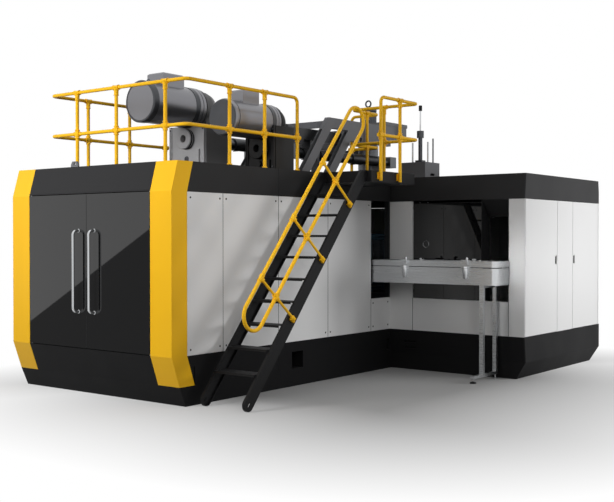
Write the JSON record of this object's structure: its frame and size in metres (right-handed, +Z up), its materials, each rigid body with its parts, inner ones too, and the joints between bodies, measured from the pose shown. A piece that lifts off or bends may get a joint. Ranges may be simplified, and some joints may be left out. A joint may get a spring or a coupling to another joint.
{
  "type": "blow moulding machine",
  "caption": "Enclosed extrusion blow moulding machine with side wing, roof extruder drives, stair with handrail, guard rails and outlet conveyor",
  "frame": {"origin": "middle of the main cabinet's underside, on the floor", "axes": "+Z up, the double-door front faces -Y, the long side with the stair faces +X, the wing stands out in +X at the +Y end"},
  "size_m": [5.5, 7.922, 4.459],
  "materials": {
    "black_paint": "satin",
    "yellow_paint": "satin powder coat",
    "white_paint": "satin powder coat",
    "fascia_paint": "satin powder coat",
    "frame_paint": "satin",
    "deck_paint": "satin",
    "stair_paint": "satin",
    "door_paint": "satin",
    "tinted_glass": "polished",
    "bright_steel": "polished",
    "latch_plastic": "matte",
    "motor_paint": "satin",
    "gearbox_paint": "painted casting",
    "tool_steel": "ground",
    "heater_steel": "brushed",
    "support_paint": "satin",
    "cylinder_paint": "satin",
    "carriage_paint": "satin",
    "mould_aluminium": "machined",
    "stainless_sheet": "brushed",
    "belt_rubber": "matte"
  },
  "bodies": {
    "machine": {"barrel_supports": "tool_steel", "barrels": "tool_steel", "blow_bracket": "support_paint", "blow_cylinder": "cylinder_paint", "cable_duct": "heater_steel", "clamp_table": "frame_paint", "conveyor_belt": "belt_rubber", "conveyor_frame": "stainless_sheet", "conveyor_skirt": "stainless_sheet", "corner_posts": "yellow_paint", "die_head": "tool_steel", "door_pivots": "bright_steel", "drive_motors": "motor_paint", "far_and_rear_panels": "white_paint", "fascias": "fascia_paint", "frame": "frame_paint", "gearbox_faces": "gearbox_paint", "gearboxes": "gearbox_paint", "guard_posts": "yellow_paint", "guard_rails": "yellow_paint", "handrail": "yellow_paint", "head_box": "support_paint", "heater_bands": "heater_steel", "landing": "stair_paint", "lifting_eyes": "support_paint", "outlet_mouth": "fascia_paint", "plinths": "black_paint", "power_pack": "frame_paint", "roof_deck": "deck_paint", "servo_cylinder": "cylinder_paint", "side_panels": "white_paint", "stair_stringers": "stair_paint", "stair_treads": "stair_paint", "support_frame": "support_paint", "welded_bed": "black_paint", "wing_panels": "white_paint"},
    "front_door_left": {"front_door_left": "door_paint", "front_door_left_glass": "tinted_glass", "front_door_left_handle": "bright_steel"},
    "front_door_right": {"front_door_right": "door_paint", "front_door_right_glass": "tinted_glass", "front_door_right_handle": "bright_steel"},
    "wing_door_left": {"wing_door_left": "white_paint"},
    "wing_door_left_latch": {"wing_door_left_latch": "latch_plastic"},
    "wing_door_right": {"wing_door_right": "white_paint"},
    "wing_door_right_latch": {"wing_door_right_latch": "latch_plastic"},
    "safety_window": {"safety_window": "tinted_glass"},
    "blow_slide": {"blow_slide": "bright_steel"},
    "carriage": {"carriage": "carriage_paint"},
    "platen_front": {"platen_front": "carriage_paint", "mould_front": "mould_aluminium"},
    "platen_rear": {"platen_rear": "carriage_paint", "mould_rear": "mould_aluminium"},
    "adjusting_ring": {"adjusting_ring": "tool_steel"},
    "main_extruder_screw": {"main_extruder_screw": "tool_steel"},
    "co_extruder_screw": {"co_extruder_screw": "tool_steel"},
    "drive_roller": {"drive_roller": "stainless_sheet"},
    "tail_roller": {"tail_roller": "stainless_sheet"},
    "guide_knob_1": {"guide_knob_1": "latch_plastic"},
    "guide_knob_2": {"guide_knob_2": "latch_plastic"}
  },
  "joints": [
    {"name": "front_door_left_hinge", "type": "hinge", "parent": "machine", "child": "front_door_left", "pos_m": [-1.182, -3.885, 1.655], "axis": [0, 0, -1], "range_deg": [0, 100]},
    {"name": "front_door_right_hinge", "type": "hinge", "parent": "machine", "child": "front_door_right", "pos_m": [1.182, -3.885, 1.655], "axis": [0, 0, 1], "range_deg": [0, 100]},
    {"name": "wing_door_left_hinge", "type": "hinge", "parent": "machine", "child": "wing_door_left", "pos_m": [3.906, 1.034, 1.652], "axis": [0, 0, -1], "range_deg": [0, 110]},
    {"name": "wing_door_right_hinge", "type": "hinge", "parent": "machine", "child": "wing_door_right", "pos_m": [3.906, 3.82289, 1.652], "axis": [0, 0, 1], "range_deg": [0, 110]},
    {"name": "wing_left_latch_hinge", "type": "hinge", "parent": "wing_door_left", "child": "wing_door_left_latch", "pos_m": [3.913, 2.11, 1.801], "axis": [0, -1, 0], "range_deg": [0, 40]},
    {"name": "wing_right_latch_hinge", "type": "hinge", "parent": "wing_door_right", "child": "wing_door_right_latch", "pos_m": [3.913, 2.818, 1.801], "axis": [0, -1, 0], "range_deg": [0, 40]},
    {"name": "safety_window_slide", "type": "slide", "parent": "machine", "child": "safety_window", "axis": [-1, 0, 0], "range_m": [0, 0.385]},
    {"name": "blow_pin_slide", "type": "slide", "parent": "machine", "child": "blow_slide", "axis": [0, 0, -1], "range_m": [0, 0.32]},
    {"name": "carriage_slide", "type": "slide", "parent": "machine", "child": "carriage", "axis": [1, 0, 0], "range_m": [0, 1.04]},
    {"name": "platen_front_slide", "type": "slide", "parent": "carriage", "child": "platen_front", "axis": [0, 1, 0], "range_m": [0, 0.0998]},
    {"name": "platen_rear_slide", "type": "slide", "parent": "carriage", "child": "platen_rear", "axis": [0, -1, 0], "range_m": [0, 0.0998]},
    {"name": "adjusting_ring_turn", "type": "hinge", "parent": "machine", "child": "adjusting_ring", "pos_m": [0.68, 1.695, 3.455], "axis": [0, 0, 1], "range_deg": [-30, 30]},
    {"name": "main_screw_turn", "type": "hinge", "parent": "machine", "child": "main_extruder_screw", "pos_m": [-0.167, -1.855, 3.56], "axis": [0, 1, 0], "continuous": true},
    {"name": "co_screw_turn", "type": "hinge", "parent": "machine", "child": "co_extruder_screw", "pos_m": [1.1, -1.669, 3.363], "axis": [0, 1, 0], "continuous": true},
    {"name": "drive_roller_turn", "type": "hinge", "parent": "machine", "child": "drive_roller", "pos_m": [3.565, 0.72, 1.592], "axis": [0, 1, 0], "continuous": true},
    {"name": "tail_roller_turn", "type": "hinge", "parent": "machine", "child": "tail_roller", "pos_m": [1.08, 0.72, 1.592], "axis": [0, 1, 0], "continuous": true},
    {"name": "guide_knob_1_turn", "type": "hinge", "parent": "machine", "child": "guide_knob_1", "pos_m": [2.492, 0.496, 1.783], "axis": [0, 0, 1], "range_deg": [-180, 180]},
    {"name": "guide_knob_2_turn", "type": "hinge", "parent": "machine", "child": "guide_knob_2", "pos_m": [3.452, 0.496, 1.783], "axis": [0, 0, 1], "range_deg": [-180, 180]}
  ],
  "couplings": [
    {"joint": "platen_rear_slide", "follows": "platen_front_slide", "ratio": 1},
    {"joint": "tail_roller_turn", "follows": "drive_roller_turn", "ratio": 1}
  ]
}
